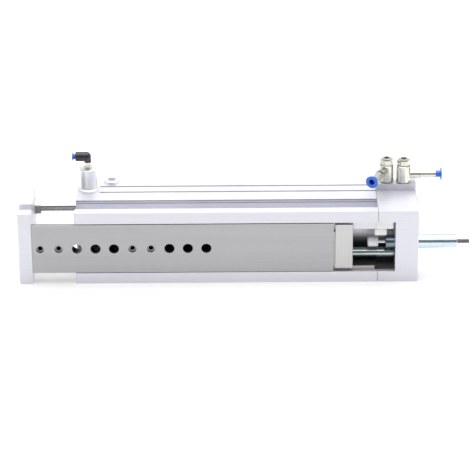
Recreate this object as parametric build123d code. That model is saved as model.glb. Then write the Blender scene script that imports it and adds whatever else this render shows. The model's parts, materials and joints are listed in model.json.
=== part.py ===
from build123d import *
import os

# Guided pneumatic cylinder lying on its side, in millimetres.
# X runs along the stroke, from the yoke towards the end cap. Y runs back from the slide's face.
# Z is up from the side that the cylinder rests on. X = 0 and Y = 0 are the housing's middle.

# Driving dimensions
HOUSING_LENGTH = 328.0
HOUSING_HEIGHT = 84.0
HOUSING_DEPTH = 92.0
YOKE_THICKNESS = 15.0
YOKE_DEPTH = 73.0
YOKE_GAP = 46.5
CAP_LENGTH = 44.0
SLIDE_LENGTH = 326.5
BLOCK_LENGTH = 19.2
JOINT_LINE = 1.6

# Front channel and the hollow behind it: depths behind the front face, and heights
CHANNEL_LOW = 12.5
CHANNEL_HIGH = 71.1
CHANNEL_DEPTH = 5.0
THROAT_DEPTH = 14.0
HOLLOW_DEPTH = 34.0
THROAT_LOW = 15.4
THROAT_HIGH = 60.6
HOLLOW_LOW = 14.6
HOLLOW_HIGH = 64.0
SIDE_GROOVE_FROM = 11.4
SIDE_GROOVE_TO = 33.8
SIDE_GROOVE_HEIGHT = 12.0
RAISED_FROM = 55.2
RAISED_HEIGHT = 7.5
WINDOW_WIDTH = 19.0
WINDOW_PIT_LOW = 10.0

# Slide
SLIDE_LOW = 13.0
SLIDE_HIGH = 70.0
SLIDE_PLATE = 4.7
SIDE_CLEARANCE = 0.6
HOLE_PITCH = 20.0
FIRST_HOLE = 8.7
SLIDE_HOLE_HEIGHT = 41.6
THREADED_HOLES = (0, 1, 5, 6)
CLEARANCE_HOLES = (2, 3, 4, 7, 8, 9)
M6_CORE_RADIUS = 2.6
CENTRING_RADIUS = 4.5
CENTRING_DEPTH = 2.1
CLEARANCE_RADIUS = 5.5

# Mounting threads: distance from the upper and lower sides, and half their pitch along the back
MOUNT_EDGE = 12.0
BACK_HALF_PITCH = 100.0
YOKE_THREAD_DEPTH = 45.0

# Ball guide
RAIL_DEPTH = 5.0
RAIL_WIDTH = 6.0
UPPER_RAIL_SKIN = 0.6
BALL_RADIUS = 1.75
BALL_GROOVE_RADIUS = 1.8
BALL_DEPTH = 7.5
BALL_COUNT = 16
BALL_PITCH = 7.5
CAGE_LENGTH = 123.0
CAGE_THICKNESS = 0.36
CAGE_START = -85.6

# Cylinder bore and piston rod
BORE_RADIUS = 12.5
BORE_DEPTH = 64.0
BORE_HEIGHT = 63.2
ROD_RADIUS = 5.0
ROD_THREAD_RADIUS = 4.0
ROD_NUT_FLATS = 16.0
ROD_NUT_LENGTH = 6.5
PISTON_LENGTH = 22.0
PISTON_START = 92.5
CARTRIDGE_LENGTH = 32.5
FIT = 0.05

# Clamping unit and its elbow
CLAMP_X = -151.2
CLAMP_RADIUS = 9.6
CLAMP_FOOT_RADIUS = 11.8
CLAMP_HEIGHT = 25.6
CLAMP_STROKE = 1.0
ELBOW_HEIGHT = 39.0
ELBOW_RADIUS = 5.3
ELBOW_HEX_HEIGHT = 7.2

# Shock absorber and stop rod
ABSORBER_DEPTH = 15.3
ABSORBER_HEIGHT = 41.2
SLEEVE_RADIUS = 7.5
SLEEVE_START = 172.7
SLEEVE_LENGTH = 77.9
ABSORBER_CAP_START = 153.5
ABSORBER_CAP_RADIUS = 5.4
ABSORBER_CAP_LENGTH = 11.4
STEM_LENGTH = 13.4
STEM_RADIUS = 2.4
STOP_ROD_DEPTH = 22.0
STOP_ROD_HEIGHT = 25.5
STOP_ROD_RADIUS = 5.75
STOP_ROD_START = -52.0

# Flow control valves
VALVE_X = (175.7, 194.2)
VALVE_DEPTH = (64.4, 62.4)
VALVE_TURN = (-116.0, 0.0)
VALVE_BODY_RADIUS = 7.9
VALVE_BODY_HEIGHT = 19.4
VALVE_ARM_HEIGHT = (14.9, 8.9)
VALVE_SEAT = 0.55
RELEASE_DISC_RADIUS = 6.8
VALVE_SHANK_RADIUS = 4.3
TUBE_RADIUS = 3.05

# Plugs
BORE_PLUG_DEPTH = 62.0
BORE_PLUG_HEIGHT = 66.0
PORT_PLUG_X = -126.6
PORT_PLUG_DEPTH = 82.0

# Derived places
X_LEFT = -HOUSING_LENGTH / 2
X_RIGHT = HOUSING_LENGTH / 2
X_CAP = X_RIGHT + CAP_LENGTH
X_WINDOW = X_RIGHT + WINDOW_WIDTH
X_YOKE = X_LEFT - YOKE_GAP
X_FRONT = X_YOKE - YOKE_THICKNESS
X_SLIDE_END = X_YOKE + SLIDE_LENGTH
X_BLOCK = X_SLIDE_END + JOINT_LINE
X_BLOCK_END = X_BLOCK + BLOCK_LENGTH
X_CARTRIDGE = X_LEFT + 1.6
X_CARTRIDGE_END = X_CARTRIDGE + CARTRIDGE_LENGTH
X_SLEEVE_END = SLEEVE_START + SLEEVE_LENGTH
Z_TOP = HOUSING_HEIGHT
Z_RAISED = HOUSING_HEIGHT + RAISED_HEIGHT
BODY_LOW = THROAT_LOW + SIDE_CLEARANCE
BODY_HIGH = THROAT_HIGH - SIDE_CLEARANCE
BALL_Z = {"lower": THROAT_LOW + SIDE_CLEARANCE / 2, "upper": THROAT_HIGH - SIDE_CLEARANCE / 2}
SCREW_Z = (28.0, 50.0)
DOWEL_Z = (23.5, 55.5)
SCREW_DEPTH = 9.4
CAP_SCREWS = ((7.0, 5.5), (7.0, 78.5), (84.0, 8.5), (84.0, 75.5))
SENSOR_SLOTS = (55.0, 70.0)
OVER = 1.0


def at_depth(depth):
    """Y of a plane that lies this far behind the front face."""
    return depth - HOUSING_DEPTH / 2


def block(x, depth, z):
    """Box from three (low, high) pairs."""
    centre = Pos(sum(x) / 2, at_depth(sum(depth) / 2), sum(z) / 2)
    return centre * Box(x[1] - x[0], depth[1] - depth[0], z[1] - z[0])


def bar(radius, x, depth, z):
    """Round bar along X, x = (start, end)."""
    return Pos(sum(x) / 2, at_depth(depth), z) * Rot(0, 90, 0) * Cylinder(radius, x[1] - x[0])


def post(radius, x, depth, z):
    """Round bar along Z, z = (low, high)."""
    return Pos(x, at_depth(depth), sum(z) / 2) * Cylinder(radius, z[1] - z[0])


def cross_bar(radius, x, depth, z):
    """Round bar along Y, depth = (near, far)."""
    return Pos(x, at_depth(sum(depth) / 2), z) * Rot(90, 0, 0) * Cylinder(radius, depth[1] - depth[0])


def hex_bar(across_flats, x, depth, z):
    """Hexagonal bar along X, x = (start, end)."""
    shape = extrude(RegularPolygon(across_flats / 2, 6, major_radius=False), x[1] - x[0])
    return Pos(x[0], at_depth(depth), z) * Rot(0, 90, 0) * shape


def hex_post(across_flats, x, depth, z):
    """Hexagonal bar along Z, z = (low, high)."""
    shape = extrude(RegularPolygon(across_flats / 2, 6, major_radius=False), z[1] - z[0])
    return Pos(x, at_depth(depth), z[0]) * shape


def end_edges(shape, axis, end):
    """Edges of the outermost face along an axis: end 0 is the lowest, -1 the highest."""
    return shape.faces().sort_by(axis)[end].outer_wire().edges()


def cap_screw(x, depth, z, length, radius, head_radius, head_length, sign):
    """Socket head screw along X. Its head's face is at x and its shank runs off towards sign."""
    head_end = x + sign * head_length
    tip = head_end + sign * length
    head = bar(head_radius, sorted((x, head_end)), depth, z)
    shank = bar(radius, sorted((head_end, tip)), depth, z)
    socket = hex_bar(radius * 1.6, sorted((x - sign * OVER, x + sign * head_length * 0.6)), depth, z)
    return head + shank - socket


# Housing

def make_housing():
    length = (X_LEFT - OVER, X_RIGHT + OVER)
    body = block((X_LEFT, X_RIGHT), (0, HOUSING_DEPTH), (0, HOUSING_HEIGHT))
    body = chamfer(end_edges(body, Axis.X, 0) + end_edges(body, Axis.X, -1), 0.5)
    body -= block(length, (-OVER, CHANNEL_DEPTH), (CHANNEL_LOW, CHANNEL_HIGH))
    body -= block(length, (0, THROAT_DEPTH + OVER), (THROAT_LOW, THROAT_HIGH))
    body -= block(length, (THROAT_DEPTH, HOLLOW_DEPTH), (HOLLOW_LOW, HOLLOW_HIGH))
    groove = (SIDE_GROOVE_FROM, SIDE_GROOVE_TO)
    body -= block(length, groove, (-OVER, SIDE_GROOVE_HEIGHT))
    body -= block(length, groove, (HOUSING_HEIGHT - SIDE_GROOVE_HEIGHT, HOUSING_HEIGHT + OVER))
    body -= rail_pocket_lower() + rail_pocket_upper()
    for height in (83.0, 80.3):
        body -= block(length, (SIDE_GROOVE_TO - OVER, SIDE_GROOVE_TO + 1.2), (height - 0.4, height + 0.4))
    body -= bar(BORE_RADIUS, length, BORE_DEPTH, BORE_HEIGHT)
    body -= bar(BORE_RADIUS + 0.8, (X_LEFT + 0.4, X_LEFT + 1.6), BORE_DEPTH, BORE_HEIGHT)
    for depth in SENSOR_SLOTS:
        body -= sensor_slot(depth)
    body -= post(6.0, CLAMP_X, BORE_DEPTH, (BORE_HEIGHT, Z_TOP + OVER))
    body -= bar(2.5, (PORT_PLUG_X, X_RIGHT + OVER), PORT_PLUG_DEPTH, BORE_HEIGHT)
    body -= post(4.4, PORT_PLUG_X, PORT_PLUG_DEPTH, (Z_TOP - 9, Z_TOP + OVER))
    body -= post(2.5, PORT_PLUG_X, PORT_PLUG_DEPTH, (BORE_HEIGHT, Z_TOP))
    body -= cross_bar(2.5, PORT_PLUG_X, (BORE_DEPTH + 8, PORT_PLUG_DEPTH), BORE_HEIGHT)
    for depth, z in CAP_SCREWS:
        body -= bar(2.5 + FIT, (X_RIGHT - 21, X_RIGHT + OVER), depth, z)
    for x in (-BACK_HALF_PITCH, BACK_HALF_PITCH):
        for z in (MOUNT_EDGE, HOUSING_HEIGHT - MOUNT_EDGE):
            body -= cross_bar(M6_CORE_RADIUS, x, (HOUSING_DEPTH - 12, HOUSING_DEPTH + OVER), z)
    return body


def sensor_slot(depth):
    """C-shaped sensor slot from the clamping unit to the end cap."""
    x = (CLAMP_X + 12.5, X_RIGHT + OVER)
    return block(x, (depth - 1.4, depth + 1.4), (Z_TOP - 3, Z_TOP + OVER)) + bar(2.2, x, depth, Z_TOP - 3)


def rail_pocket_lower():
    x = (X_LEFT - OVER, X_RIGHT + OVER)
    return block(x, (CHANNEL_DEPTH, CHANNEL_DEPTH + RAIL_DEPTH), (THROAT_LOW - RAIL_WIDTH, THROAT_LOW + 0.05))


def rail_pocket_upper():
    x = (X_LEFT - OVER, X_RIGHT + OVER)
    depth = (CHANNEL_DEPTH + UPPER_RAIL_SKIN, CHANNEL_DEPTH + RAIL_DEPTH)
    pocket = block(x, depth, (THROAT_HIGH - 0.05, THROAT_HIGH + RAIL_WIDTH))
    lip = block(x, (CHANNEL_DEPTH - OVER, depth[0]), (THROAT_HIGH - 0.05, THROAT_HIGH + 0.9))
    return pocket + lip


def make_guide_rail(side):
    """Hardened strip in the housing with a round ball groove along its inner face."""
    x = (X_LEFT + 3, X_RIGHT - 3)
    if side == "lower":
        rail = block(x, (CHANNEL_DEPTH, CHANNEL_DEPTH + RAIL_DEPTH), (THROAT_LOW - RAIL_WIDTH, THROAT_LOW))
    else:
        depth = (CHANNEL_DEPTH + UPPER_RAIL_SKIN, CHANNEL_DEPTH + RAIL_DEPTH)
        rail = block(x, depth, (THROAT_HIGH, THROAT_HIGH + RAIL_WIDTH))
    return rail - bar(BALL_GROOVE_RADIUS, (X_LEFT - OVER, X_RIGHT + OVER), BALL_DEPTH, BALL_Z[side])


def ball_places():
    start = CAGE_START + (CAGE_LENGTH - (BALL_COUNT - 1) * BALL_PITCH) / 2
    return [start + index * BALL_PITCH for index in range(BALL_COUNT)]


def make_ball_cage(side):
    z = (BALL_Z[side] - CAGE_THICKNESS / 2, BALL_Z[side] + CAGE_THICKNESS / 2)
    cage = block((CAGE_START, CAGE_START + CAGE_LENGTH), (CHANNEL_DEPTH + 0.2, THROAT_DEPTH - 2), z)
    for x in ball_places():
        cage -= post(BALL_RADIUS + 0.1, x, BALL_DEPTH, (z[0] - OVER, z[1] + OVER))
    return cage


def make_balls(side):
    return Compound(children=[Pos(x, at_depth(BALL_DEPTH), BALL_Z[side]) * Sphere(BALL_RADIUS)
                              for x in ball_places()])


# Slide, yoke and rod: the parts that travel

def hole_x(index):
    return X_YOKE + FIRST_HOLE + index * HOLE_PITCH


def make_slide():
    plate = block((X_YOKE, X_SLIDE_END), (0, SLIDE_PLATE), (SLIDE_LOW, SLIDE_HIGH))
    plate = chamfer(end_edges(plate, Axis.Y, 0), 0.2)
    slide = plate + block((X_YOKE, X_SLIDE_END), (SLIDE_PLATE, THROAT_DEPTH - 0.3), (BODY_LOW, BODY_HIGH))
    for side in BALL_Z:
        slide -= bar(BALL_GROOVE_RADIUS, (X_YOKE - OVER, X_SLIDE_END + OVER), BALL_DEPTH, BALL_Z[side])
    for index in THREADED_HOLES:
        slide -= cross_bar(M6_CORE_RADIUS, hole_x(index), (-OVER, THROAT_DEPTH), SLIDE_HOLE_HEIGHT)
        slide -= cross_bar(CENTRING_RADIUS, hole_x(index), (-OVER, CENTRING_DEPTH), SLIDE_HOLE_HEIGHT)
    for index in CLEARANCE_HOLES:
        slide -= cross_bar(CLEARANCE_RADIUS, hole_x(index), (-OVER, THROAT_DEPTH), SLIDE_HOLE_HEIGHT)
    for z in SCREW_Z:
        slide -= bar(2.5 + FIT, (X_YOKE - OVER, X_YOKE + 17), SCREW_DEPTH, z)
        slide -= bar(2.5 + FIT, (X_SLIDE_END - 17, X_SLIDE_END + OVER), SCREW_DEPTH, z)
    for z in DOWEL_Z:
        slide -= bar(2.0 + FIT, (X_YOKE - OVER, X_YOKE + 9), SCREW_DEPTH + 1, z)
    return slide


def make_slide_end_block():
    front = block((X_BLOCK, X_BLOCK_END), (0, SLIDE_PLATE), (16.5, 68.0))
    front = chamfer(end_edges(front, Axis.Y, 0), 0.5)
    body = block((X_BLOCK, X_BLOCK_END), (SLIDE_PLATE, HOLLOW_DEPTH - 4), (BODY_LOW, BODY_HIGH))
    body += block((X_SLIDE_END, X_BLOCK), (3, THROAT_DEPTH - 0.3), (BODY_LOW + 1, BODY_HIGH - 1))
    body += front
    body -= bar(STOP_ROD_RADIUS + 0.4, (X_BLOCK - OVER, X_BLOCK_END + OVER), STOP_ROD_DEPTH, STOP_ROD_HEIGHT)
    for z in SCREW_Z:
        body -= bar(2.75, (X_SLIDE_END - OVER, X_BLOCK_END), SCREW_DEPTH, z)
        body -= bar(4.4, (X_BLOCK_END - 5.5, X_BLOCK_END + OVER), SCREW_DEPTH, z)
    return body


def make_end_block_screws():
    return Compound(children=[cap_screw(X_BLOCK_END - 0.4, SCREW_DEPTH, z, 26, 2.5, 4.25, 5, -1)
                              for z in SCREW_Z])


def make_yoke_plate():
    yoke = block((X_FRONT, X_YOKE), (0, YOKE_DEPTH), (0.5, HOUSING_HEIGHT - 0.8))
    for low, high in ((-OVER, 8.0), (HOUSING_HEIGHT - 8.0, HOUSING_HEIGHT + OVER)):
        yoke -= block((X_FRONT - OVER, X_YOKE + OVER), (12.5, 26.3), (low, high))
    yoke = chamfer(end_edges(yoke, Axis.X, 0), 1.0)
    yoke = chamfer(end_edges(yoke, Axis.X, -1), 0.5)
    for z in SCREW_Z:
        yoke -= bar(2.75, (X_FRONT, X_YOKE + OVER), SCREW_DEPTH, z)
        yoke -= bar(4.4, (X_FRONT - OVER, X_FRONT + 5.8), SCREW_DEPTH, z)
    for z in DOWEL_Z:
        yoke -= bar(2.0 + FIT, (X_YOKE - 8, X_YOKE + OVER), SCREW_DEPTH + 1, z)
    yoke -= bar(ROD_THREAD_RADIUS + FIT, (X_FRONT, X_YOKE + OVER), BORE_DEPTH, BORE_HEIGHT)
    yoke -= bar(7.5, (X_FRONT - OVER, X_FRONT + 6.5), BORE_DEPTH, BORE_HEIGHT)
    for z in (MOUNT_EDGE, HOUSING_HEIGHT - MOUNT_EDGE):
        yoke -= bar(M6_CORE_RADIUS, (X_FRONT - OVER, X_YOKE + OVER), YOKE_THREAD_DEPTH, z)
    return yoke


def make_yoke_screws():
    return Compound(children=[cap_screw(X_FRONT + 0.6, SCREW_DEPTH, z, 25, 2.5, 4.25, 5, 1)
                              for z in SCREW_Z])


def make_yoke_dowels():
    return Compound(children=[bar(2.0, (X_YOKE - 7.5, X_YOKE + 8.5), SCREW_DEPTH + 1, z)
                              for z in DOWEL_Z])


def make_rod_nut():
    nut = hex_bar(ROD_NUT_FLATS, (X_YOKE, X_YOKE + ROD_NUT_LENGTH), BORE_DEPTH, BORE_HEIGHT)
    nut &= bar(ROD_NUT_FLATS * 0.56, (X_YOKE, X_YOKE + ROD_NUT_LENGTH), BORE_DEPTH, BORE_HEIGHT)
    hole = (X_YOKE - OVER, X_YOKE + ROD_NUT_LENGTH + OVER)
    return nut - bar(ROD_RADIUS + FIT, hole, BORE_DEPTH, BORE_HEIGHT)


def make_rod_end_nut():
    nut = hex_bar(12.8, (X_FRONT + 1.5, X_FRONT + 6.5), BORE_DEPTH, BORE_HEIGHT)
    return nut - bar(ROD_THREAD_RADIUS + FIT, (X_FRONT, X_FRONT + 8), BORE_DEPTH, BORE_HEIGHT)


def make_piston_rod():
    piston_end = PISTON_START + PISTON_LENGTH
    rod = bar(ROD_RADIUS, (X_YOKE, PISTON_START), BORE_DEPTH, BORE_HEIGHT)
    rod += bar(ROD_THREAD_RADIUS, (X_FRONT + 1.0, X_YOKE), BORE_DEPTH, BORE_HEIGHT)
    return rod + bar(ROD_THREAD_RADIUS, (PISTON_START, piston_end + 6), BORE_DEPTH, BORE_HEIGHT)


def piston_groove(start, length, floor):
    """Ring-shaped groove in the piston's rim."""
    x = (PISTON_START + start, PISTON_START + start + length)
    return bar(BORE_RADIUS + OVER, x, BORE_DEPTH, BORE_HEIGHT) - bar(floor, x, BORE_DEPTH, BORE_HEIGHT)


def piston_ring(start, length, outer, inner):
    x = (PISTON_START + start, PISTON_START + start + length)
    hole = (x[0] - OVER, x[1] + OVER)
    return bar(outer, x, BORE_DEPTH, BORE_HEIGHT) - bar(inner, hole, BORE_DEPTH, BORE_HEIGHT)


def make_piston():
    piston = piston_ring(0, PISTON_LENGTH, BORE_RADIUS - 0.3, ROD_THREAD_RADIUS + FIT)
    for start, length, floor in ((1.5, 4.0, 8.5), (8.0, 5.0, 8.0), (15.5, 4.0, 8.5)):
        piston -= piston_groove(start, length, floor)
    return piston


def make_piston_seals():
    return Compound(children=[piston_ring(start, 3.6, BORE_RADIUS - FIT, 8.55) for start in (1.7, 15.7)])


def make_piston_magnet():
    """The magnet is split, so that it can go round the piston."""
    ring = piston_ring(8.1, 4.8, BORE_RADIUS - 0.6, 8.05)
    x = (PISTON_START + 7, PISTON_START + 14)
    return ring - block(x, (BORE_DEPTH - 0.3, BORE_DEPTH + 0.3), (BORE_HEIGHT, BORE_HEIGHT + 20))


def make_piston_nut():
    x = PISTON_START + PISTON_LENGTH
    nut = hex_bar(13.0, (x, x + 5), BORE_DEPTH, BORE_HEIGHT)
    return nut - bar(ROD_THREAD_RADIUS + FIT, (x - OVER, x + 6), BORE_DEPTH, BORE_HEIGHT)


# Rod bearing at the yoke end of the bore

def bore_ring(x, outer, inner):
    """Ring on the bore's axis."""
    hole = (x[0] - OVER, x[1] + OVER)
    return bar(outer, x, BORE_DEPTH, BORE_HEIGHT) - bar(inner, hole, BORE_DEPTH, BORE_HEIGHT)


def make_rod_bearing_cap():
    cap = bore_ring((X_CARTRIDGE, X_CARTRIDGE_END), BORE_RADIUS - 0.03, ROD_RADIUS + 0.15)
    cap -= bar(7.5, (X_CARTRIDGE - OVER, X_CARTRIDGE + 3), BORE_DEPTH, BORE_HEIGHT)
    cap -= bar(6.5, (X_CARTRIDGE_END - 18, X_CARTRIDGE_END + OVER), BORE_DEPTH, BORE_HEIGHT)
    cap -= bar(7.5, (X_CARTRIDGE_END - 4, X_CARTRIDGE_END + OVER), BORE_DEPTH, BORE_HEIGHT)
    seat = (BORE_RADIUS + OVER, BORE_RADIUS - 1.9)
    groove = (X_CARTRIDGE + 24, X_CARTRIDGE + 26.4)
    cap -= bar(seat[0], groove, BORE_DEPTH, BORE_HEIGHT) - bar(seat[1], groove, BORE_DEPTH, BORE_HEIGHT)
    return cap - post(3.05, CLAMP_X, BORE_DEPTH, (BORE_HEIGHT, BORE_HEIGHT + BORE_RADIUS + OVER))


def make_rod_bush():
    return bore_ring((X_CARTRIDGE_END - 18, X_CARTRIDGE_END - 4), 6.48, ROD_RADIUS + 0.03)


def make_rod_seal():
    return bore_ring((X_CARTRIDGE_END - 4, X_CARTRIDGE_END - 0.5), 7.48, ROD_RADIUS + FIT)


def make_rod_wiper():
    return bore_ring((X_CARTRIDGE, X_CARTRIDGE + 3), 7.48, ROD_RADIUS + FIT)


def make_bearing_o_ring():
    return bore_ring((X_CARTRIDGE + 24.1, X_CARTRIDGE + 26.3), BORE_RADIUS - 0.02, BORE_RADIUS - 1.85)


def make_retaining_ring():
    ring = bore_ring((X_LEFT + 0.5, X_LEFT + 1.5), BORE_RADIUS + 0.75, BORE_RADIUS - 2.5)
    gap = block((X_LEFT, X_LEFT + 2), (BORE_DEPTH - 3, BORE_DEPTH + 3), (BORE_HEIGHT - 20, BORE_HEIGHT))
    return ring - gap


# End cap

def make_end_cap():
    cap = block((X_RIGHT, X_CAP), (0, HOUSING_DEPTH), (0, HOUSING_HEIGHT))
    cap += block((X_RIGHT, X_CAP), (RAISED_FROM, HOUSING_DEPTH), (Z_TOP - OVER, Z_RAISED))
    window = (X_RIGHT - OVER, X_WINDOW)
    cap -= block(window, (-OVER, CHANNEL_DEPTH), (CHANNEL_LOW, CHANNEL_HIGH))
    cap = chamfer(end_edges(cap, Axis.X, -1), 1.0)
    cap -= block(window, (0, THROAT_DEPTH), (CHANNEL_LOW, CHANNEL_HIGH))
    cap -= block(window, (CHANNEL_DEPTH, HOLLOW_DEPTH), (WINDOW_PIT_LOW, HOLLOW_HIGH))
    cap += bore_ring((X_RIGHT - 4, X_RIGHT + OVER), BORE_RADIUS - 0.03, 2.5)
    ring_seat = (X_RIGHT - 3.2, X_RIGHT - 0.8)
    cap -= bore_ring(ring_seat, BORE_RADIUS + OVER, BORE_RADIUS - 1.9)
    cap -= bar(2.5, (X_RIGHT - 5, VALVE_X[0]), BORE_DEPTH, BORE_HEIGHT)
    for x, depth in zip(VALVE_X, VALVE_DEPTH):
        cap -= post(VALVE_SHANK_RADIUS + FIT, x, depth, (Z_RAISED - 11, Z_RAISED + OVER))
        cap -= post(2.5, x, depth, (BORE_HEIGHT, Z_RAISED - 10))
    cap -= bar(2.5, (X_RIGHT - OVER, VALVE_X[1]), PORT_PLUG_DEPTH, BORE_HEIGHT)
    cap -= cross_bar(2.5, VALVE_X[1], (VALVE_DEPTH[1], HOUSING_DEPTH + OVER), BORE_HEIGHT)
    cap -= cross_bar(4.0 + FIT, VALVE_X[1], (HOUSING_DEPTH - 7, HOUSING_DEPTH + OVER), BORE_HEIGHT)
    cap -= bar(5.5 + FIT, (X_CAP - 8, X_CAP + OVER), BORE_PLUG_DEPTH, BORE_PLUG_HEIGHT)
    cap -= bar(SLEEVE_RADIUS + FIT, (X_WINDOW - OVER, X_CAP + OVER), ABSORBER_DEPTH, ABSORBER_HEIGHT)
    cap -= bar(STOP_ROD_RADIUS + FIT, (X_WINDOW - OVER, X_WINDOW + 17), STOP_ROD_DEPTH, STOP_ROD_HEIGHT)
    cap -= post(2.5 + FIT, X_CAP - 4.2, ABSORBER_DEPTH, (-OVER, ABSORBER_HEIGHT))
    for depth, z in CAP_SCREWS:
        cap -= bar(2.75, (X_RIGHT - OVER, X_CAP + OVER), depth, z)
        cap -= bar(4.4, (X_CAP - 5.5, X_CAP + OVER), depth, z)
    return cap - joint_groove()


def joint_groove():
    """Narrow groove round the joint between the housing and the cap."""
    low, high = 1.5, HOUSING_HEIGHT - 1.5
    core = block((X_RIGHT - 2 * OVER, X_RIGHT + OVER), (1.5, HOUSING_DEPTH - 1.5), (low, high))
    rim = block((X_RIGHT - OVER, X_RIGHT + 0.4), (-OVER, HOUSING_DEPTH + OVER), (-OVER, HOUSING_HEIGHT))
    return rim - core


def make_end_cap_screws():
    return Compound(children=[cap_screw(X_CAP - 0.5, depth, z, 56, 2.5, 4.25, 5, -1)
                              for depth, z in CAP_SCREWS])


def make_end_cap_o_ring():
    return bore_ring((X_RIGHT - 3.1, X_RIGHT - 0.9), BORE_RADIUS - 0.02, BORE_RADIUS - 1.85)


def make_bore_bumper():
    """Rubber disc that cushions the piston at the end cap."""
    return bore_ring((X_RIGHT - 7, X_RIGHT - 4), 10.5, 4.0)


def make_bore_plug():
    plug = bar(6.5, (X_CAP, X_CAP + 3), BORE_PLUG_DEPTH, BORE_PLUG_HEIGHT)
    plug = chamfer(end_edges(plug, Axis.X, -1), 0.5)
    plug += bar(5.5, (X_CAP - 7.5, X_CAP), BORE_PLUG_DEPTH, BORE_PLUG_HEIGHT)
    return plug - hex_bar(5.0, (X_CAP - 4, X_CAP + 4), BORE_PLUG_DEPTH, BORE_PLUG_HEIGHT)


def make_channel_plug():
    """Set screw that closes the cross-drilled air channel in the cap's back."""
    plug = cross_bar(4.0, VALVE_X[1], (HOUSING_DEPTH - 6.5, HOUSING_DEPTH - 0.5), BORE_HEIGHT)
    socket = Rot(90, 0, 0) * extrude(RegularPolygon(2.0, 6, major_radius=False), 4)
    return plug - Pos(VALVE_X[1], at_depth(HOUSING_DEPTH), BORE_HEIGHT) * socket


def make_port_plug():
    """Low round plug over the air channel on the upper side, with a deep round recess."""
    plug = post(8.2, PORT_PLUG_X, PORT_PLUG_DEPTH, (Z_TOP, Z_TOP + 3.5))
    plug = chamfer(end_edges(plug, Axis.Z, -1), 0.6)
    plug += post(4.35, PORT_PLUG_X, PORT_PLUG_DEPTH, (Z_TOP - 8, Z_TOP))
    return plug - hex_post(7.4, PORT_PLUG_X, PORT_PLUG_DEPTH, (Z_TOP - 2, Z_TOP + 5))


def make_rail_end_pad():
    """White plastic stop at the upper rail's end: a rounded plate on a thick foot, with a tongue below."""
    x = (X_RIGHT - 2.1, X_WINDOW - 2.5)
    plate = block(x, (3.0, CHANNEL_DEPTH), (62.0, 70.2))
    plate = fillet(plate.edges().filter_by(Axis.Y), 1.2)
    foot = block((X_RIGHT + 0.3, x[1]), (CHANNEL_DEPTH, THROAT_DEPTH), (62.0, 70.2))
    tongue = block((X_RIGHT - 3.4, X_WINDOW - 9.7), (CHANNEL_DEPTH + 0.6, THROAT_DEPTH), (53.3, 60.2))
    neck = block((X_RIGHT + 0.6, X_WINDOW - 9.7), (9.0, THROAT_DEPTH), (60.0, 63.0))
    return plate + foot + tongue + neck


# Stops

def make_stop_rod():
    rod = bar(STOP_ROD_RADIUS, (STOP_ROD_START, X_WINDOW + 17), STOP_ROD_DEPTH, STOP_ROD_HEIGHT)
    return chamfer(end_edges(rod, Axis.X, 0), 0.6)


def stop_ring(x, outer):
    ring = bar(outer, x, STOP_ROD_DEPTH, STOP_ROD_HEIGHT)
    hole = (x[0] - OVER, x[1] + OVER)
    return ring - bar(STOP_ROD_RADIUS + FIT, hole, STOP_ROD_DEPTH, STOP_ROD_HEIGHT)


def make_stop_rod_nut():
    return stop_ring((STOP_ROD_START + 2, STOP_ROD_START + 8), 7.5)


def make_advance_buffer():
    return stop_ring((STOP_ROD_START + 8, STOP_ROD_START + 16), 7.5)


def absorber_bar(radius, x):
    return bar(radius, x, ABSORBER_DEPTH, ABSORBER_HEIGHT)


def make_stop_sleeve():
    sleeve = absorber_bar(SLEEVE_RADIUS, (SLEEVE_START, X_SLEEVE_END))
    sleeve = chamfer(end_edges(sleeve, Axis.X, 0) + end_edges(sleeve, Axis.X, -1), 0.5)
    sleeve -= absorber_bar(5.1, (SLEEVE_START - OVER, X_SLEEVE_END - 4.4))
    return sleeve - absorber_bar(STEM_RADIUS + FIT, (X_SLEEVE_END - 6, X_SLEEVE_END + OVER))


def make_absorber_body():
    body = absorber_bar(5.05, (SLEEVE_START + 1.3, SLEEVE_START + 63))
    return body - absorber_bar(1.8, (SLEEVE_START, SLEEVE_START + 53))


def make_adjuster_stem():
    return absorber_bar(STEM_RADIUS, (SLEEVE_START + 63, X_SLEEVE_END + STEM_LENGTH))


def make_absorber_rod():
    return absorber_bar(1.75, (ABSORBER_CAP_START + 6, SLEEVE_START + 43))


def make_absorber_cap():
    cap = absorber_bar(ABSORBER_CAP_RADIUS, (ABSORBER_CAP_START, ABSORBER_CAP_START + ABSORBER_CAP_LENGTH))
    cap = fillet(end_edges(cap, Axis.X, 0) + end_edges(cap, Axis.X, -1), 0.8)
    return cap - absorber_bar(1.8, (ABSORBER_CAP_START + 6, ABSORBER_CAP_START + ABSORBER_CAP_LENGTH + OVER))


def make_sleeve_clamp_screw():
    z_high = ABSORBER_HEIGHT - SLEEVE_RADIUS - 0.1
    screw = post(2.5, X_CAP - 4.2, ABSORBER_DEPTH, (z_high - 12, z_high))
    return screw - hex_post(2.5, X_CAP - 4.2, ABSORBER_DEPTH, (z_high - 13, z_high - 9))


# Clamping unit on the upper side

def clamp_post(radius, low, high):
    """Round part of the clamping unit, with heights above the housing's upper side."""
    return post(radius, CLAMP_X, BORE_DEPTH, (Z_TOP + low, Z_TOP + high))


def make_clamp_housing():
    barrel = clamp_post(CLAMP_RADIUS, 0, CLAMP_HEIGHT)
    barrel = fillet(end_edges(barrel, Axis.Z, -1), 1.0)
    foot = chamfer(end_edges(clamp_post(CLAMP_FOOT_RADIUS, 0, 3.0), Axis.Z, -1), 1.4)
    unit = barrel + foot + clamp_post(5.95, -4.5, 0)
    unit -= clamp_post(3.05, -6, 0)
    unit -= clamp_post(5.05, -3, 18.5)
    return unit - clamp_post(VALVE_SHANK_RADIUS, 18, CLAMP_HEIGHT + OVER)


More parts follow.
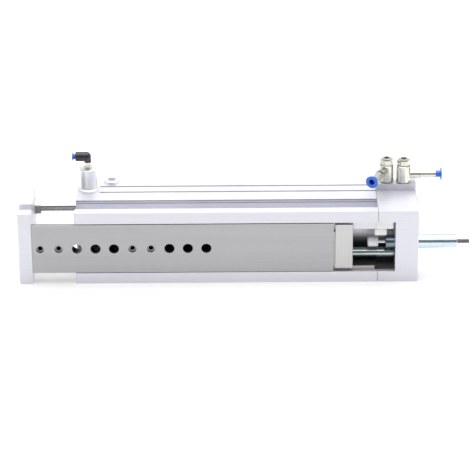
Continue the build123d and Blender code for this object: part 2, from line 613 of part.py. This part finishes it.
def make_clamp_pin():
    rod_top = BORE_HEIGHT + ROD_RADIUS - Z_TOP
    pin = clamp_post(3.0, rod_top + FIT + CLAMP_STROKE, 8) + clamp_post(5.0, 4, 9)
    groove = clamp_post(6.0, 5.5, 7.5) - clamp_post(3.9, 5.5, 7.5)
    return pin - groove


def make_clamp_seal():
    return clamp_post(5.02, 5.6, 7.4) - clamp_post(3.95, 5, 8)


def make_clamp_spring():
    """Return spring under the pin's head."""
    helix = Helix(pitch=1.65, height=5.6, radius=4.1)
    start = Plane(origin=helix @ 0, z_dir=helix % 0)
    coil = sweep(start * Circle(0.4), path=helix)
    return Pos(CLAMP_X, at_depth(BORE_DEPTH), Z_TOP - 2.4) * coil


def make_elbow_thread():
    hex_top = CLAMP_HEIGHT + ELBOW_HEX_HEIGHT
    base = hex_post(7.2, CLAMP_X, BORE_DEPTH, (Z_TOP + CLAMP_HEIGHT, Z_TOP + hex_top))
    groove = clamp_post(6.0, CLAMP_HEIGHT + 3.4, CLAMP_HEIGHT + 4.2)
    base -= groove - clamp_post(3.4, CLAMP_HEIGHT + 3, CLAMP_HEIGHT + 5)
    base += clamp_post(VALVE_SHANK_RADIUS - FIT, CLAMP_HEIGHT - 6, CLAMP_HEIGHT)
    base += clamp_post(2.2, hex_top - 0.5, hex_top + 3.2)
    return base - clamp_post(1.3, CLAMP_HEIGHT - 7, hex_top + 4)


def elbow_bar(radius, x):
    return bar(radius, x, BORE_DEPTH, Z_TOP + ELBOW_HEIGHT)


def make_elbow_body():
    hex_top = CLAMP_HEIGHT + ELBOW_HEX_HEIGHT
    upright = clamp_post(3.8, hex_top + 0.1, ELBOW_HEIGHT)
    barrel = elbow_bar(ELBOW_RADIUS, (CLAMP_X - 13.1, CLAMP_X - 1.4))
    corner = Pos(CLAMP_X - 1.4, at_depth(BORE_DEPTH), Z_TOP + ELBOW_HEIGHT) * Sphere(ELBOW_RADIUS)
    barrel = chamfer(end_edges(barrel, Axis.X, 0), 0.6)
    body = barrel + corner + upright
    body -= clamp_post(8.0, CLAMP_HEIGHT, hex_top + 0.1)
    body -= clamp_post(2.2 + FIT, hex_top, hex_top + 3.4)
    body -= clamp_post(1.3, hex_top + 3, ELBOW_HEIGHT)
    body -= elbow_bar(2.05, (CLAMP_X - 15, CLAMP_X - 1))
    return body - elbow_bar(3.1, (CLAMP_X - 15, CLAMP_X - 7.1))


def make_elbow_ring():
    ring = elbow_bar(3.0, (CLAMP_X - 15.6, CLAMP_X - 8.3))
    flange = elbow_bar(4.7, (CLAMP_X - 16.7, CLAMP_X - 15.5))
    ring += chamfer(end_edges(flange, Axis.X, 0), 0.4)
    return ring - elbow_bar(2.1, (CLAMP_X - 18, CLAMP_X - 8))


# Flow control valves

def valve_axis(index):
    """The valve's own frame: its arm along local X, its screw along local Z, turned as it stands."""
    return Pos(VALVE_X[index], at_depth(VALVE_DEPTH[index]), Z_RAISED) * Rot(0, 0, VALVE_TURN[index])


def arm_bar(radius, x, height):
    return Pos(sum(x) / 2, 0, height) * Rot(0, 90, 0) * Cylinder(radius, x[1] - x[0])


def make_valve_body(index):
    height = VALVE_ARM_HEIGHT[index]
    body = Pos(0, 0, VALVE_SEAT + VALVE_BODY_HEIGHT / 2) * Cylinder(VALVE_BODY_RADIUS, VALVE_BODY_HEIGHT)
    body = chamfer(end_edges(body, Axis.Z, 0) + end_edges(body, Axis.Z, -1), 0.6)
    body += arm_bar(4.85, (0, 19.1), height)
    body += arm_bar(5.2, (18.0, 19.1), height)
    body += arm_bar(3.6, (19.0, 21.5), height)
    body += arm_bar(4.1, (21.3, 35.0), height)
    body -= arm_bar(TUBE_RADIUS, (16.0, 36), height)
    body -= arm_bar(1.8, (0, 17), height)
    body -= arm_bar(3.75, (28.0, 36), height)
    body -= Pos(0, 0, 10) * Cylinder(VALVE_SHANK_RADIUS + FIT, 30)
    return valve_axis(index) * body


def make_valve_screw(index):
    top = VALVE_SEAT + VALVE_BODY_HEIGHT + 0.05
    head = extrude(RegularPolygon(6.5, 6, major_radius=False), 5.2)
    head &= Pos(0, 0, 2.6) * Cylinder(7.2, 5.2)
    screw = Pos(0, 0, top + 0.8) * head + Pos(0, 0, top + 0.5) * Cylinder(5.4, 1.0)
    screw += Pos(0, 0, top + 6.6) * Cylinder(4.9, 1.6)
    screw += Pos(0, 0, (top - 10.5) / 2) * Cylinder(VALVE_SHANK_RADIUS, top + 10.5)
    screw -= Pos(0, 0, top + 2.5) * Cylinder(2.95, 12.0)
    screw -= Pos(0, 0, 0) * Cylinder(1.5, 60)
    screw -= Pos(0, 0, VALVE_ARM_HEIGHT[index]) * Rot(0, 90, 0) * Cylinder(1.5, 20)
    return valve_axis(index) * screw


def make_needle_screw(index):
    top = VALVE_SEAT + VALVE_BODY_HEIGHT + 6.65
    needle = Pos(0, 0, top - 4.0) * Cylinder(2.88, 8.0)
    needle += Pos(0, 0, top - 11.0) * Cylinder(1.42, 8.0)
    needle -= Pos(0, 0, top) * Box(8, 0.9, 2.4)
    return valve_axis(index) * needle


def make_release_ring(index):
    height = VALVE_ARM_HEIGHT[index]
    ring = arm_bar(3.65, (29.2, 40.6), height) + arm_bar(RELEASE_DISC_RADIUS, (40.3, 41.6), height)
    return valve_axis(index) * (ring - arm_bar(TUBE_RADIUS + 0.1, (29, 43), height))


def make_valve_washers():
    washers = []
    for x, depth in zip(VALVE_X, VALVE_DEPTH):
        hole = post(VALVE_SHANK_RADIUS + 0.1, x, depth, (Z_RAISED - OVER, Z_RAISED + OVER))
        washers.append(post(6.6, x, depth, (Z_RAISED, Z_RAISED + 0.5)) - hole)
    return Compound(children=washers)


NODES = {
    "housing": make_housing(),
    "guide_rail_lower": make_guide_rail("lower"),
    "guide_rail_upper": make_guide_rail("upper"),
    "ball_cage_lower": make_ball_cage("lower"),
    "ball_cage_upper": make_ball_cage("upper"),
    "guide_balls_lower": make_balls("lower"),
    "guide_balls_upper": make_balls("upper"),
    "slide": make_slide(),
    "slide_end_block": make_slide_end_block(),
    "end_block_screws": make_end_block_screws(),
    "yoke_plate": make_yoke_plate(),
    "yoke_screws": make_yoke_screws(),
    "yoke_dowels": make_yoke_dowels(),
    "rod_nut": make_rod_nut(),
    "rod_end_nut": make_rod_end_nut(),
    "piston_rod": make_piston_rod(),
    "piston": make_piston(),
    "piston_seals": make_piston_seals(),
    "piston_magnet": make_piston_magnet(),
    "piston_nut": make_piston_nut(),
    "rod_bearing_cap": make_rod_bearing_cap(),
    "rod_bush": make_rod_bush(),
    "rod_seal": make_rod_seal(),
    "rod_wiper": make_rod_wiper(),
    "bearing_o_ring": make_bearing_o_ring(),
    "retaining_ring": make_retaining_ring(),
    "end_cap": make_end_cap(),
    "end_cap_screws": make_end_cap_screws(),
    "end_cap_o_ring": make_end_cap_o_ring(),
    "bore_bumper": make_bore_bumper(),
    "bore_plug": make_bore_plug(),
    "channel_plug": make_channel_plug(),
    "port_plug": make_port_plug(),
    "rail_end_pad": make_rail_end_pad(),
    "stop_rod": make_stop_rod(),
    "stop_rod_nut": make_stop_rod_nut(),
    "advance_buffer": make_advance_buffer(),
    "stop_sleeve": make_stop_sleeve(),
    "absorber_body": make_absorber_body(),
    "adjuster_stem": make_adjuster_stem(),
    "absorber_rod": make_absorber_rod(),
    "absorber_cap": make_absorber_cap(),
    "sleeve_clamp_screw": make_sleeve_clamp_screw(),
    "clamp_housing": make_clamp_housing(),
    "clamp_pin": make_clamp_pin(),
    "clamp_seal": make_clamp_seal(),
    "clamp_spring": make_clamp_spring(),
    "elbow_thread": make_elbow_thread(),
    "elbow_body": make_elbow_body(),
    "elbow_release_ring": make_elbow_ring(),
    "valve_washers": make_valve_washers(),
}
for number, index in (("1", 0), ("2", 1)):
    NODES["valve_screw_" + number] = make_valve_screw(index)
    NODES["valve_body_" + number] = make_valve_body(index)
    NODES["needle_screw_" + number] = make_needle_screw(index)
    NODES["release_ring_" + number] = make_release_ring(index)

os.makedirs("parts", exist_ok=True)
for name, shape in NODES.items():
    export_step(shape, f"parts/{name}.step")
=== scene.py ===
import json
import math

import bpy
from mathutils import Matrix, Vector


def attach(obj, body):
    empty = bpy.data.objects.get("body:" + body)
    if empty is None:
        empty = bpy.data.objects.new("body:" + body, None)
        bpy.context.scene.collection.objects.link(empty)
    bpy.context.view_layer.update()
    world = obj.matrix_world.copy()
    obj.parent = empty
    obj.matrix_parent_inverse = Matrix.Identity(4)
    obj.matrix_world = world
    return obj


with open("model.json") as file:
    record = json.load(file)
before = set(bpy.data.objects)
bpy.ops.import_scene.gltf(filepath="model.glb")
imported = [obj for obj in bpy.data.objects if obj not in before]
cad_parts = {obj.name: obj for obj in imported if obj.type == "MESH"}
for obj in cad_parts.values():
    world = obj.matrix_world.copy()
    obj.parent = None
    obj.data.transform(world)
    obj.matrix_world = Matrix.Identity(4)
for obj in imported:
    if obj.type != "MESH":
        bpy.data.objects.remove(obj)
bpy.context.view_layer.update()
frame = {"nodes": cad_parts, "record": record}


NODES = frame["nodes"]
SCENE = bpy.context.scene
MM = 0.001


# Node helpers that the materials and the sky share

def smooth_range(tree, value, start, full):
    """0 where the value is at start and 1 where it is at full, eased at both ends."""
    node = tree.nodes.new("ShaderNodeMapRange")
    node.interpolation_type = "SMOOTHSTEP"
    node.inputs["From Min"].default_value = start
    node.inputs["From Max"].default_value = full
    tree.links.new(value, node.inputs["Value"])
    return node.outputs["Result"]


def product(tree, a, b):
    node = tree.nodes.new("ShaderNodeMath")
    node.operation = "MULTIPLY"
    tree.links.new(a, node.inputs[0])
    tree.links.new(b, node.inputs[1])
    return node.outputs[0]


def colour_mix(tree, a, b, factor, how="MIX"):
    """Two colours mixed. The colours and the factor are each a socket or a constant."""
    node = tree.nodes.new("ShaderNodeMix")
    node.data_type = "RGBA"
    node.blend_type = how
    sockets = {s.identifier: s for s in node.inputs}
    for identifier, value in (("A_Color", a), ("B_Color", b), ("Factor_Float", factor)):
        if isinstance(value, bpy.types.NodeSocket):
            tree.links.new(value, sockets[identifier])
        elif identifier == "Factor_Float":
            sockets[identifier].default_value = value
        else:
            sockets[identifier].default_value = (*value, 1.0)
    return next(s for s in node.outputs if s.identifier == "Result_Color")


# Painted shade: zones whose colour is darkened to stand in for the shade in recesses and the dark
# reflections on parts that get little light. Each holds the share of the brightness that is left in it, and
# the sides that bound it.
# A side is an axis, where the dimming starts and where it is full, in millimetres in the part's own frame.

# Painted shade inside the housing's hollow channel, whose walls get little light
CHANNEL_SHADE = (0.16, (("X", -163.5, -160.0), ("X", 184.5, 182.5), ("Y", -40.6, -37.0), ("Y", -8.0, -11.0),
                  ("Z", 9.0, 10.5), ("Z", 46.0, 36.0)))
# Painted shade in the slide's tapped holes
SLIDE_HOLE_SHADE = (0.06, (("Y", -44.7, -42.6), ("Y", -32.6, -33.6), ("Z", 30.0, 33.0), ("Z", 53.0, 50.0)))
# Painted dark reflection along the underside of the piston rod
ROD_UNDERSIDE_DARK_REFLECTION = (0.3, (("Z", 63.0, 61.9),))
# Painted shade on the stretch of the stop sleeve that lies inside the end cap
SLEEVE_SHADE_IN_CAP = (0.35, (("X", 184.0, 182.0),))


# Materials

class Graph:
    """A material's node tree, with short calls for the nodes used here."""

    def __init__(self, name):
        self.material = bpy.data.materials.new(name)
        self.material.use_nodes = True
        self.tree = self.material.node_tree
        self.tree.nodes.clear()
        self.shader = self.tree.nodes.new("ShaderNodeBsdfPrincipled")
        self.link(self.shader.outputs[0], self.tree.nodes.new("ShaderNodeOutputMaterial").inputs[0])
        self.place = self.tree.nodes.new("ShaderNodeTexCoord").outputs["Object"]

    def link(self, a, b):
        self.tree.links.new(a, b)

    def set(self, **values):
        for key, value in values.items():
            self.shader.inputs[key.replace("_", " ")].default_value = value

    def stretched(self, scale):
        """Object coordinates multiplied by a scale per axis, in cells a metre."""
        mapping = self.tree.nodes.new("ShaderNodeMapping")
        mapping.inputs["Scale"].default_value = scale
        self.link(self.place, mapping.inputs["Vector"])
        return mapping.outputs[0]

    def noise(self, scale, detail=3.0, rough=0.55, distortion=0.0):
        node = self.tree.nodes.new("ShaderNodeTexNoise")
        node.inputs["Scale"].default_value = 1.0
        node.inputs["Detail"].default_value = detail
        node.inputs["Roughness"].default_value = rough
        node.inputs["Distortion"].default_value = distortion
        self.link(self.stretched(scale), node.inputs["Vector"])
        return node.outputs["Fac"]

    def cells(self, scale):
        node = self.tree.nodes.new("ShaderNodeTexVoronoi")
        node.inputs["Scale"].default_value = 1.0
        self.link(self.stretched(scale), node.inputs["Vector"])
        return node.outputs["Distance"]

    def within(self, axis, start, full):
        """0 before start and 1 past full, along one object axis, in millimetres."""
        parts = self.tree.nodes.new("ShaderNodeSeparateXYZ")
        self.link(self.place, parts.inputs[0])
        return smooth_range(self.tree, parts.outputs["XYZ".index(axis)], start * MM, full * MM)

    def with_painted_shade(self, tone, shaded_zone):
        """The tone with painted shade: darker inside the shaded zone where there is one."""
        if shaded_zone is None:
            return tone
        keep, sides = shaded_zone
        mask = self.within(*sides[0])
        for side in sides[1:]:
            mask = product(self.tree, mask, self.within(*side))
        return self.mix(tone, self.mix(tone, (keep,) * 3, 1.0, "MULTIPLY"), mask)

    def ramp(self, value, low, high, at=(0.3, 0.7)):
        """A value in 0..1 turned into a colour or a grey between low and high."""
        node = self.tree.nodes.new("ShaderNodeValToRGB")
        for element, position, colour in zip(node.color_ramp.elements, at, (low, high)):
            element.position = position
            grey = (colour,) * 3 if isinstance(colour, (int, float)) else tuple(colour)
            element.color = (*grey, 1.0)
        self.link(value, node.inputs[0])
        return node.outputs[0]

    def mix(self, a, b, factor, how="MIX"):
        return colour_mix(self.tree, a, b, factor, how)

    def bump(self, value, height):
        """Bump of a height in metres."""
        node = self.tree.nodes.new("ShaderNodeBump")
        node.inputs["Strength"].default_value = 1.0
        node.inputs["Distance"].default_value = height
        self.link(value, node.inputs["Height"])
        self.link(node.outputs[0], self.shader.inputs["Normal"])

    def colour(self, socket):
        self.link(socket, self.shader.inputs["Base Color"])

    def roughness(self, socket):
        self.link(socket, self.shader.inputs["Roughness"])


def shade(colour, factor):
    return tuple(min(1.0, c * factor) for c in colour)


def anodised(name, colour, rough=0.42, along=(6, 700, 700), metallic=0.6, shaded_zone=None):
    """Satin anodised aluminium: fine die lines, a sand-like matte grain and faint cloudy patches."""
    g = Graph(name)
    lines = g.noise(along, 2.0)
    grain = g.noise((2600, 2600, 2600), 2.0)
    cloud = g.noise((9, 22, 22), 3.0)
    tone = g.ramp(lines, shade(colour, 0.965), shade(colour, 1.02))
    tone = g.mix(tone, g.ramp(cloud, 0.95, 1.0), 1.0, "MULTIPLY")
    g.colour(g.with_painted_shade(tone, shaded_zone))
    g.set(Metallic=metallic)
    g.roughness(g.ramp(g.mix(lines, cloud, 0.5), rough - 0.05, rough + 0.07))
    g.bump(g.mix(grain, lines, 0.4), 0.012 * MM)
    return g.material


def ground(name, colour, rough=0.33, along=(5, 1500, 1500), shaded_zone=None):
    """Ground steel: grinding lines along the travel, with broad faint bands and wipe marks."""
    g = Graph(name)
    lines = g.noise(along, 4.0, 0.65)
    bands = g.noise((3, 90, 90), 2.0)
    wipe = g.noise((28, 28, 16), 4.0, 0.6, 0.8)
    tone = g.ramp(lines, shade(colour, 0.93), shade(colour, 1.05))
    tone = g.mix(tone, g.ramp(bands, 0.95, 1.0), 1.0, "MULTIPLY")
    tone = g.mix(tone, g.ramp(wipe, 0.94, 1.0), 1.0, "MULTIPLY")
    g.colour(g.with_painted_shade(tone, shaded_zone))
    g.set(Metallic=0.9)
    g.roughness(g.ramp(g.mix(lines, wipe, 0.5), rough - 0.06, rough + 0.1))
    g.bump(lines, 0.006 * MM)
    return g.material


def plated(name, colour, other, rough=0.16, along=(900, 60, 60), spots=1.0, shaded_zone=None):
    """Bright plating: a slow drift between two tints, turning lines and small dull spots."""
    g = Graph(name)
    drift = g.noise((45, 120, 120), 3.0, 0.5, 0.6)
    turned = g.noise(along, 2.0)
    spot = g.noise((420, 420, 420), 4.0, 0.7)
    tone = g.mix(g.ramp(drift, colour, other), g.ramp(turned, 0.93, 1.0), 1.0, "MULTIPLY")
    tone = g.mix(tone, g.ramp(spot, 1.0 - 0.16 * spots, 1.0, (0.25, 0.42)), 1.0, "MULTIPLY")
    g.colour(g.with_painted_shade(tone, shaded_zone))
    g.set(Metallic=1.0)
    g.roughness(g.ramp(g.mix(turned, spot, 0.5), rough - 0.04, rough + 0.1))
    g.bump(turned, 0.004 * MM)
    return g.material


def moulded(name, colour, rough, grain=1500, depth=0.008, coat=0.0, scatter=0.0):
    """Moulded plastic: a fine matte skin, slight flow marks and rubbed patches."""
    g = Graph(name)
    skin = g.noise((grain,) * 3, 2.0)
    flow = g.noise((70, 90, 60), 3.0, 0.5, 1.0)
    g.colour(g.ramp(g.mix(flow, skin, 0.3), shade(colour, 0.86), shade(colour, 1.1)))
    g.roughness(g.ramp(g.mix(flow, skin, 0.5), rough - 0.05, rough + 0.08))
    g.set(Coat_Weight=coat, Coat_Roughness=0.12, Subsurface_Weight=scatter, Subsurface_Scale=0.6 * MM)
    g.bump(skin, depth * MM)
    return g.material


def rubber(name):
    g = Graph(name)
    skin = g.noise((1800,) * 3, 3.0)
    g.colour(g.ramp(skin, (0.018, 0.018, 0.019), (0.038, 0.037, 0.036)))
    g.roughness(g.ramp(g.noise((160,) * 3), 0.55, 0.78))
    g.bump(skin, 0.015 * MM)
    return g.material


def sintered(name):
    g = Graph(name)
    g.colour(g.ramp(g.cells((2400,) * 3), (0.10, 0.10, 0.105), (0.19, 0.19, 0.195)))
    g.set(Metallic=0.3)
    g.roughness(g.ramp(g.noise((500,) * 3), 0.55, 0.75))
    g.bump(g.cells((2400,) * 3), 0.02 * MM)
    return g.material


# Noise cells a metre along each axis, for marks that run round a rod that lies along X
ROUND_ROD = (1600, 30, 30)

MATERIALS = {
    "anodised_aluminium": anodised("anodised_aluminium", (0.74, 0.74, 0.80), shaded_zone=CHANNEL_SHADE),
    "unit_aluminium": anodised("unit_aluminium", (0.87, 0.875, 0.895), 0.3, (40, 40, 900), 0.8),
    "inner_aluminium": anodised("inner_aluminium", (0.70, 0.70, 0.72), 0.3, (900, 40, 40)),
    "slide_steel": ground("slide_steel", (0.42, 0.418, 0.43), shaded_zone=SLIDE_HOLE_SHADE),
    "block_steel": ground("block_steel", (0.58, 0.575, 0.57), 0.36, (600, 600, 8)),
    "rail_steel": ground("rail_steel", (0.50, 0.47, 0.43), 0.3),
    "ball_steel": plated("ball_steel", (0.78, 0.78, 0.78), (0.84, 0.84, 0.85), 0.1, (300, 300, 300)),
    "cage_brass": plated("cage_brass", (0.66, 0.50, 0.24), (0.76, 0.60, 0.32), 0.28),
    "chrome_rod": plated("chrome_rod", (0.74, 0.74, 0.72), (0.82, 0.82, 0.82), 0.12, ROUND_ROD, 0.4),
    "zinc_steel": plated("zinc_steel", (0.56, 0.68, 0.78), (0.68, 0.76, 0.80), 0.2, (1300, 50, 50)),
    "dark_steel": ground("dark_steel", (0.16, 0.16, 0.165), 0.38, (700, 700, 700)),
    "magnet": sintered("magnet"),
    "black_rubber": rubber("black_rubber"),
    "white_plastic": moulded("white_plastic", (0.86, 0.86, 0.87), 0.42, scatter=0.15),
    "nickel_brass": plated("nickel_brass", (0.68, 0.67, 0.60), (0.76, 0.765, 0.70), 0.2, (60, 60, 1100)),
    "needle_steel": plated("needle_steel", (0.20, 0.195, 0.19), (0.28, 0.27, 0.26), 0.3, (60, 60, 900)),
    "washer_plastic": moulded("washer_plastic", (0.16, 0.16, 0.17), 0.5),
    "black_plastic": moulded("black_plastic", (0.018, 0.017, 0.027), 0.3, 1300, 0.006, 0.1),
    "blue_plastic": moulded("blue_plastic", (0.012, 0.15, 0.72), 0.3, 1300, 0.004, 0.35),
}

for part in frame["record"]["subparts"]:
    slots = NODES[part["node"]].data.materials
    slots.clear()
    slots.append(MATERIALS[part["material_slot"]])

# Pieces whose look differs from the rest of their slot, among them the painted shade on the piston rod, the
# stop rod and the stop sleeve
OWN = {
    "rail_end_pad": moulded("pad_plastic", (0.95, 0.95, 0.95), 0.35, scatter=0.2),
    "piston_rod": plated("rod_chrome", (0.78, 0.78, 0.77), (0.84, 0.84, 0.84), 0.1, ROUND_ROD, 0.4,
                         ROD_UNDERSIDE_DARK_REFLECTION),
    # Painted shade: the stop rod's chrome is darker because the rod lies in the shaded hollow
    "stop_rod": plated("shaded_chrome", (0.38, 0.44, 0.44), (0.50, 0.57, 0.56), 0.14, ROUND_ROD, 0.4),
    "stop_sleeve": plated("sleeve_zinc", (0.56, 0.68, 0.80), (0.66, 0.76, 0.84), 0.2, (1300, 50, 50),
                          shaded_zone=SLEEVE_SHADE_IN_CAP),
}
for name, material in OWN.items():
    NODES[name].data.materials[0] = material


# Thread ridges in the tapped holes, in millimetres

THREAD_PITCH = 1.0
THREAD_RIDGE = 0.28
RIDGE_ROOT = 0.05
RIDGE_HALF_WIDTH = 0.42
FIRST_TURN = 0.6
SHORT_OF_END = 1.2
STEPS_A_TURN = 24

# mount: how deep its tapped holes go, the body the ridges ride on and their material
TAPPED = {
    "slide_threads_near": (11.0, "slide_group", "slide_steel"),
    "slide_threads_middle": (11.0, "slide_group", "slide_steel"),
    "yoke_threads": (14.4, "slide_group", "anodised_aluminium"),
    "back_threads": (11.4, "cylinder_body", "anodised_aluminium"),
}


def ridge(mouth, into, radius, length):
    """Vertices and faces of one helical ridge with a triangular section, down a round hole."""
    across = into.orthogonal().normalized()
    other = into.cross(across)
    root = radius + RIDGE_ROOT
    section = ((root, -RIDGE_HALF_WIDTH), (radius - THREAD_RIDGE, 0.0), (root, RIDGE_HALF_WIDTH))
    count = int(length / THREAD_PITCH * STEPS_A_TURN)
    verts = []
    for step in range(count + 1):
        turns = step / STEPS_A_TURN
        out = across * math.cos(2 * math.pi * turns) + other * math.sin(2 * math.pi * turns)
        along = FIRST_TURN + turns * THREAD_PITCH
        verts += [mouth + (out * r + into * (along + shift)) * MM for r, shift in section]
    faces = [(2, 1, 0), (3 * count, 3 * count + 1, 3 * count + 2)]
    for step in range(count):
        a = 3 * step
        faces += [(a + i, a + (i + 1) % 3, a + 3 + (i + 1) % 3, a + 3 + i) for i in range(3)]
    return verts, faces


def make_threads(name, depth, body, slot):
    """The ridges of one mount's tapped holes, which stand at half its spacing either side of its middle."""
    mount = next(m for m in frame["record"]["mounts"] if m["name"] == name)
    dims = mount["dims"]
    half_x = dims.get("spacing_x_mm", 0) / 2
    half_z = dims.get("spacing_y_mm", 0) / 2
    into = -Vector(mount["axis"])
    verts = []
    faces = []
    for x in sorted({-half_x, half_x}):
        for z in sorted({-half_z, half_z}):
            mouth = Vector(mount["pos_m"]) + Vector((x, 0, z)) * MM
            more, more_faces = ridge(mouth, into, dims["hole_r_mm"], depth - SHORT_OF_END)
            faces += [tuple(i + len(verts) for i in face) for face in more_faces]
            verts += more
    mesh = bpy.data.meshes.new(name)
    mesh.from_pydata(verts, [], faces)
    mesh.materials.append(MATERIALS[slot])
    piece = bpy.data.objects.new(name + "_ridges", mesh)
    SCENE.collection.objects.link(piece)
    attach(piece, body)


for name, values in TAPPED.items():
    make_threads(name, *values)


# Stage, light and camera

FLOOR_HALF = 3.0
AIM = Vector((0.0, 0.0, 0.05))
SKY_BRIGHT = (0.9, 0.9, 0.9)
SKY_DIM = (0.2, 0.2, 0.208)


def make_floor():
    mesh = bpy.data.meshes.new("floor")
    verts = [(x * FLOOR_HALF, y * FLOOR_HALF, 0) for x, y in ((-1, -1), (1, -1), (1, 1), (-1, 1))]
    mesh.from_pydata(verts, [], [(0, 1, 2, 3)])
    floor = bpy.data.objects.new("floor", mesh)
    SCENE.collection.objects.link(floor)
    g = Graph("studio_floor")
    g.colour(g.ramp(g.noise((3, 3, 3), 2.0), 0.66, 0.69))
    g.set(Roughness=0.9, Specular_IOR_Level=0.1, Emission_Color=(1.0, 1.0, 1.0, 1.0), Emission_Strength=0.3)
    mesh.materials.append(g.material)


def area_light(name, place, size, power):
    """A white rectangle of light that faces the object."""
    data = bpy.data.lights.new(name, "AREA")
    data.shape = "RECTANGLE"
    data.size, data.size_y = size
    data.energy = power
    light = bpy.data.objects.new(name, data)
    SCENE.collection.objects.link(light)
    light.location = place
    light.rotation_euler = (AIM - Vector(place)).to_track_quat("-Z", "Y").to_euler()


def make_sky():
    """A white studio all round, dim where the camera stands, so that round metal shows a dark band."""
    world = bpy.data.worlds.new("studio")
    SCENE.world = world
    world.use_nodes = True
    tree = world.node_tree
    tree.nodes.clear()
    place = tree.nodes.new("ShaderNodeTexCoord")
    parts = tree.nodes.new("ShaderNodeSeparateXYZ")
    tree.links.new(place.outputs["Generated"], parts.inputs[0])
    front = smooth_range(tree, parts.outputs["Y"], -0.25, -0.6)
    under = smooth_range(tree, parts.outputs["Z"], 0.88, 0.68)
    colour = colour_mix(tree, SKY_BRIGHT, SKY_DIM, product(tree, front, under))
    back = tree.nodes.new("ShaderNodeBackground")
    out = tree.nodes.new("ShaderNodeOutputWorld")
    tree.links.new(colour, back.inputs["Color"])
    tree.links.new(back.outputs[0], out.inputs[0])


def make_camera():
    """A long lens in front of the object, looking down at it."""
    elevation = math.radians(25.5)
    roll = math.radians(0.38)
    distance = 2.6
    target = Vector((0.012, -0.046, 0.0543))
    data = bpy.data.cameras.new("camera")
    data.sensor_width = 36.0
    data.lens = 182.4
    data.clip_start = 0.05
    camera = bpy.data.objects.new("camera", data)
    SCENE.collection.objects.link(camera)
    view = Vector((0, math.cos(elevation), -math.sin(elevation)))
    turn = view.to_track_quat("-Z", "Y").to_matrix().to_4x4() @ Matrix.Rotation(-roll, 4, "Z")
    camera.matrix_world = Matrix.Translation(target - view * distance) @ turn
    SCENE.camera = camera


make_floor()
make_sky()
area_light("key", (-0.2, -0.9, 1.9), (2.0, 1.4), 10.0)
area_light("top", (0.1, 0.4, 1.7), (2.4, 1.6), 34.0)
make_camera()
SCENE.view_settings.view_transform = "Standard"
SCENE.view_settings.look = "None"
